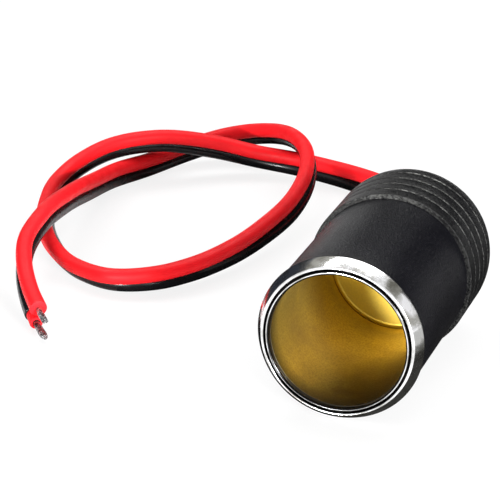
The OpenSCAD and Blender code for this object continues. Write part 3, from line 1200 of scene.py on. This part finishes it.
@dataclass
class RearCap(Turned):
    """The black rear cap: grained front face, four turned grooves, and a rounded shoulder."""

    radius: float = 13.2
    edge: float = 0.14
    groove_half: float = 0.225
    groove_depth: float = 0.3
    groove_soft: float = 0.09
    shoulder_at: float = 40.6
    shoulder: float = 8.6
    corner: float = 1.2
    bore: float = 12.05
    snap: float = 12.25
    chamber: float = 11.2
    cable_hole: float = 3.6

    def outline(self) -> list[Station]:
        """The cap's section, from the front face round the outside and back through the inside.

        Returns:
            The stations of the section, in order.
        """
        outer, deep, half = self.radius, self.radius - self.groove_depth, self.groove_half
        wide = half + self.groove_soft
        out = [(self.bore, CAP_FRONT), (outer - 0.16, CAP_FRONT)]
        out += arc((outer - self.edge, CAP_FRONT + self.edge), self.edge, -80, 0, 5)
        for middle in (FIRST_GROOVE + i * GROOVE_PITCH for i in range(GROOVES)):
            out += [
                (outer, middle - wide), (outer - 0.03, middle - half), (deep + 0.02, middle - 0.05),
                (deep, middle), (deep + 0.02, middle + 0.05), (outer - 0.03, middle + half),
                (outer, middle + wide),
            ]
        corner_at = CAP_BACK - self.corner
        rise, inner = corner_at - self.shoulder_at, self.shoulder - self.corner
        middle = outer - self.shoulder
        meet = math.degrees(math.asin(rise / inner))
        out += arc((middle, self.shoulder_at), self.shoulder, 0, meet, 14)
        out += arc((middle + math.sqrt(inner**2 - rise**2), corner_at), self.corner, meet, 90, 10)[1:]
        return out + [
            (self.cable_hole + 0.15, CAP_BACK), (self.cable_hole, CAP_BACK - 0.15),
            (self.cable_hole, CAP_WALL), (self.chamber - 1.3, CAP_WALL),
            (self.chamber, CAP_WALL - 1.2), (self.chamber, SPIGOT_TO + 0.1),
            (self.bore, SPIGOT_TO + 0.1), (self.bore, SNAP_AT + 0.4), (self.snap, SNAP_AT + 0.2),
            (self.snap, SNAP_AT - 0.2), (self.bore, SNAP_AT - 0.4),
        ]


@dataclass
class ContactWasher(Turned):
    """The fibre washer that sits in the floor's well and passes through its hole."""

    radius: float = 4.4
    hole: float = 1.65
    sleeve: float = 2.3

    def outline(self) -> list[Station]:
        """The washer's section, from its hole round its rim and down its sleeve.

        Returns:
            The stations of the section, in order.
        """
        seat = FLOOR + WELL
        face, back = seat - CONTACT_WASHER, seat + SHEET
        return [
            (self.hole, face), (self.radius - 0.1, face), (self.radius - 0.03, face + 0.03),
            (self.radius, face + 0.1), (self.radius, seat), (self.sleeve, seat), (self.sleeve, back),
            (self.hole, back),
        ]


@dataclass
class ContactPin(Turned):
    """The headed rivet that is the centre contact."""

    head: float = 3.2
    head_high: float = 0.8
    shank: float = 1.6
    held_behind: float = 1.5

    def outline(self) -> list[Station]:
        """The rivet's section, from the middle of its head to the middle of its closed end.

        Returns:
            The stations of the section, in order.
        """
        seat = FLOOR + WELL
        face, closed = seat - CONTACT_WASHER, seat + SHEET + self.held_behind
        top = face - self.head_high
        dome = [
            (0.1, 0.0), (0.9, 0.042), (1.6, 0.134), (2.3, 0.28), (2.85, 0.43), (3.1, 0.52),
            (3.18, 0.6), (self.head, 0.68),
        ]
        tail = [(2.4, 0.0), (2.5, 0.1), (2.4, 0.36), (1.7, 0.54), (0.9, 0.655), (0.1, 0.7)]
        return [
            *((radius, top + along) for radius, along in dome), (self.head, face), (self.shank, face),
            (self.shank, closed), *((radius, closed + along) for radius, along in tail),
        ]


@dataclass
class Grommet(Turned):
    """The soft bush in the cap's rear wall, with a rim on each side and a slot for the pair."""

    rim: float = 4.6
    rim_high: float = 0.8
    rim_out: float = 1.0
    bush: float = 3.55
    middle: float = 0.3
    slot_radius: float = 1.4
    slot_ends: tuple[float, float] = (51.5, 39.5)
    pitch: float = 2.8

    def outline(self) -> list[Station]:
        """The bush's section, from the middle of its inner face to the middle of its outer one.

        Returns:
            The stations of the section, in order.
        """
        rim, front, back = self.rim, CAP_WALL - self.rim_high, CAP_BACK + self.rim_out
        return [
            (self.middle, front), (rim - 0.2, front), (rim, front + 0.2), (rim, CAP_WALL),
            (self.bush, CAP_WALL), (self.bush, CAP_BACK), (rim, CAP_BACK), (rim, back - 0.4),
            (rim - 0.06, back - 0.18), (rim - 0.2, back - 0.05), (rim - 0.36, back),
            (self.middle, back),
        ]

    def turn(self) -> Piece:
        """Turns the bush and cuts its slot.

        Returns:
            The bush with its slot.
        """
        piece = super().turn()
        cutter = self.slot_cutter()
        cut = piece.modifiers.new("slot", "BOOLEAN")
        cut.operation = "DIFFERENCE"
        cut.solver = "EXACT"
        cut.object = cutter
        make_active(piece)
        bpy.ops.object.modifier_apply(modifier="slot")
        bpy.data.objects.remove(cutter)
        return piece

    def slot_cutter(self) -> Piece:
        """A round bar along the axis, drawn apart in height by the pair's pitch.

        Returns:
            The bar.
        """
        radius, half = self.slot_radius * MM, self.pitch / 2 * MM
        ends = [((0, MOUTH_Y + along * MM, AXIS_HEIGHT), radius) for along in self.slot_ends]
        cutter = draw_out("cutter", 48, ACROSS_AXIS, ends)
        close_mesh(fill=True)
        for vertex in cutter.data.vertices:
            vertex.co.z += half if vertex.co.z > AXIS_HEIGHT + SAME_PLACE else -half
        return cutter


@dataclass
class HiddenParts:
    """CAD nodes behind the liner's floor that keep their shape and get a finish."""

    slots: tuple[tuple[str, tuple[str, ...]], ...] = (
        ("fibre", ("rear_insulator",)),
        ("plated_steel", ("rivet_washer", "positive_tab", "negative_tab")),
        ("solder", ("positive_solder", "negative_solder")),
        ("insulation_red", ("red_inner_lead",)),
        ("insulation_black", ("black_inner_lead",)),
        ("tinned_copper", ("red_inner_strands", "black_inner_strands")),
    )

    def build(self, rack: FinishRack) -> None:
        """Dresses the nodes.

        Args:
            rack: The finishes.
        """
        for slot, nodes in self.slots:
            for name in nodes:
                rack.dress(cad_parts[name], slot)
                log.info("node %s dressed as %s", name, slot)


# ---- the studio ----


def facing(azimuth: float, elevation: float, wide: float, high: float, away: float = 0.6) -> Place:
    """The place of a card that faces the object, with all angles in degrees.

    Args:
        azimuth: Where it stands round the object: 0 is +Y and 90 is +X.
        elevation: How high it stands.
        wide: Angle that it takes up across.
        high: Angle that it takes up in height.
        away: Its distance.

    Returns:
        Its middle, turn and size.
    """
    turn, rise = math.radians(azimuth), math.radians(elevation)
    level = math.cos(rise)
    toward = Vector((math.sin(turn) * level, math.cos(turn) * level, math.sin(rise)))
    sizes = [2 * away * math.tan(math.radians(angle / 2)) for angle in (wide, high)]
    return toward * away, (-toward).to_track_quat("Z", "Y").to_euler(), Vector((*sizes, 1))


def lying(left: float, right: float, front: float, back: float) -> Place:
    """The place of a card that lies on the floor between four edges: its middle, turn and size."""
    middle = Vector(((left + right) / 2, (front + back) / 2, 0))
    return middle, Euler(), Vector((right - left, back - front, 1))


@dataclass(frozen=True)
class Card:
    """A plain card that only gloss sees, as a photographer's flag or reflector."""

    name: str
    tone: Colour
    place: Place

    def build(self) -> None:
        """Makes the card and hides it from all but gloss."""
        deselect_everything()
        bpy.ops.mesh.primitive_plane_add(size=1)
        card = bpy.context.active_object
        card.name = self.name
        card.location, card.rotation_euler, card.scale = self.place
        for kind in ("camera", "diffuse", "transmission", "volume_scatter", "shadow"):
            setattr(card, "visible_" + kind, False)
        bench = NodeBench(self.name, bare=True)
        bench.show(bench.add("Emission", Color=self.tone).outputs[0])
        card.data.materials.append(bench.holder)


@dataclass
class Studio:
    """A plain pale floor, a white surround, soft lamps and cards for the gloss."""

    floor_half: float = 3.0
    floor_level: float = -0.02 * MM
    floor_tone: Colour = (0.82, 0.82, 0.82)
    floor_glow: float = 0.86
    surround: float = 0.06
    aim: Point = (-0.02, 0.02, 0.01)
    # Name, place, side in metres and power in watts
    lamps: tuple[tuple[str, Point, float, float], ...] = (
        ("key", (-0.43, 0.17, 0.8), 0.4, 5.0),
        ("top", (0.1, 0.36, 0.75), 0.6, 6.0),
        ("right", (0.66, -0.7, 0.17), 0.2, 33.0),
        ("front_left", (-0.21, -0.97, 0.052), 0.11, 14.0),
    )
    cards: tuple[Card, ...] = (
        Card("flag_behind", (0.012, 0.012, 0.014), facing(24, 15, 84, 62)),
        Card("flag_left", (0.03, 0.034, 0.045), facing(-72, 19.5, 60, 65)),
        Card("board_left", (0.27, 0.265, 0.22), facing(-64, 54, 60, 21, 0.55)),
        Card("board_right", (0.27, 0.265, 0.235), facing(79, 45, 26, 17)),
        Card("cloth_under", (0.012, 0.012, 0.013), lying(-0.05, -0.002, -0.036, 0.2)),
        Card("cloth_near", (0.045, 0.044, 0.04), lying(-0.002, 0.04, -0.03, 0.2)),
        Card("cloth_right", (0.22, 0.22, 0.21), lying(0.04, 0.056, -0.022, 0.2)),
        Card("cloth_far", (0.6, 0.6, 0.58), lying(0.056, 0.3, -0.022, 0.2)),
        Card("cloth_left", (0.06, 0.055, 0.055), lying(-0.7, -0.1, 0.03, 0.6)),
    )

    def build(self) -> None:
        """Makes the floor, the surround, the lamps and the cards."""
        bpy.context.scene.view_settings.view_transform = "Standard"
        self.floor()
        self.world()
        for lamp in self.lamps:
            self.lamp(*lamp)
        for card in self.cards:
            card.build()

    def floor(self) -> None:
        """A pale floor that looks white to the camera and keeps a soft shadow."""
        deselect_everything()
        bpy.ops.mesh.primitive_plane_add(size=2 * self.floor_half, location=(0, 0, self.floor_level))
        floor = bpy.context.active_object
        floor.name = "floor"
        bench = NodeBench("floor_white", bare=True)
        diffuse = bench.add("BsdfDiffuse", Color=self.floor_tone)
        glow = bench.add("Emission", Color=WHITE, Strength=1.0)
        seen = bench.add("LightPath").outputs["Is Camera Ray"]
        bench.show(bench.mix_shaders(bench.times(seen, self.floor_glow), diffuse, glow))
        floor.data.materials.append(bench.holder)

    def world(self) -> None:
        """White where the camera, metal and glass see it, and a soft level for lighting."""
        world = bpy.data.worlds.new("surround")
        bpy.context.scene.world = world
        bench = NodeBench(world, bare=True)
        seen = bench.add("Background", Color=WHITE, Strength=1.0)
        light = bench.add("Background", Color=WHITE, Strength=self.surround)
        path = bench.add("LightPath").outputs
        share = bench.math("MAXIMUM", path["Is Camera Ray"], path["Is Glossy Ray"])
        share = bench.math("MAXIMUM", share, path["Is Transmission Ray"])
        bench.show(bench.mix_shaders(share, light, seen), "OutputWorld")

    def lamp(self, name: str, place: Point, size: float, power: float) -> None:
        """A square soft lamp that points at the middle of the object.

        Args:
            name: Its name.
            place: Where it stands.
            size: Its side in metres.
            power: Its power in watts.
        """
        data = bpy.data.lights.new(name, "AREA")
        data.size = size
        data.energy = power
        lamp = bpy.data.objects.new(name, data)
        lamp.location = place
        aim = Vector(self.aim) - Vector(place)
        lamp.rotation_euler = aim.to_track_quat("-Z", "Y").to_euler()
        bpy.context.scene.collection.objects.link(lamp)


def main() -> None:
    """Builds the camera, the lead, the socket and the studio in order."""
    logging.basicConfig(level=logging.INFO, format="%(name)s: %(message)s")
    rack = FinishRack()
    rack.build()
    PhotoCamera().build()
    for group in (
        TwinLead(),
        FrontRing("front_ring", "bezel_ring", "bezel_chrome", 32),
        Liner("liner_cup", "liner_shell", "liner_metal", 40),
        Barrel("barrel", "housing_tube", "barrel_black", 32),
        RearCap("rear_shell", "rear_cap", "cap_black", 40),
        ContactWasher("contact_washer", "front_insulator", "fibre", 35, 96),
        ContactPin("contact_pin", "contact_rivet", "contact_metal", 30, 96, True),
        Grommet("cable_bush", "wire_grommet", "grommet_rubber", 30, 96, True),
        HiddenParts(),
    ):
        group.build(rack)
    Studio().build()


if __name__ == "__main__":
    main()
